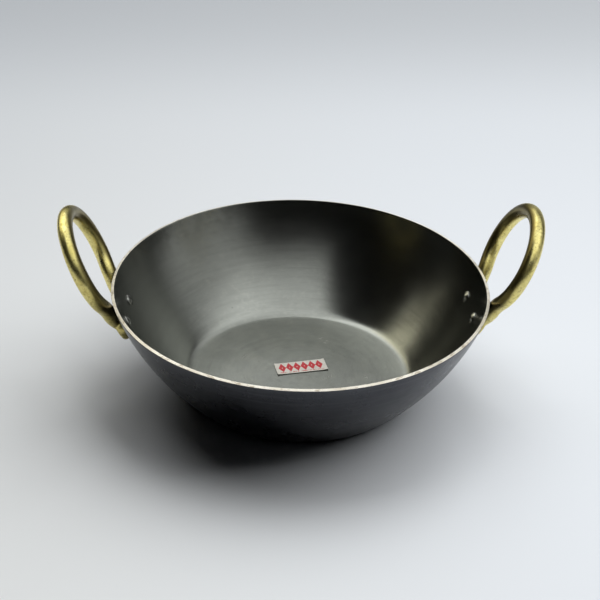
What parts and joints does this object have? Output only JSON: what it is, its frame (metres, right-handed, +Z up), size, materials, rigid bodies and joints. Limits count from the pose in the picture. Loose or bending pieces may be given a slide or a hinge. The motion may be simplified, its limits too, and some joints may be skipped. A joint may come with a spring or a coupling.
{
  "type": "kadai",
  "caption": "Deep round iron kadai with a flat floor, flared walls and riveted upright brass loop handles, for frying and stir-frying on a stovetop.",
  "frame": {"origin": "centre of the underside of the flat floor, which is the middle of the bounding box's bottom", "axes": "+Z up, out of the bowl's mouth; +X through the middle of both handles, towards handle_right; +Y towards the back of the bowl"},
  "size_m": [0.3266, 0.2598, 0.1331],
  "materials": {
    "iron": "dark satin sheet iron",
    "brass": "antique satin",
    "rivet_steel": "satin",
    "label_paper": "thin coated paper"
  },
  "bodies": {
    "root": {"pan_body": "iron", "handle_left": "brass", "handle_right": "brass", "rivet_left_front": "rivet_steel", "rivet_left_back": "rivet_steel", "rivet_right_front": "rivet_steel", "rivet_right_back": "rivet_steel", "paper_label": "label_paper"}
  },
  "joints": []
}
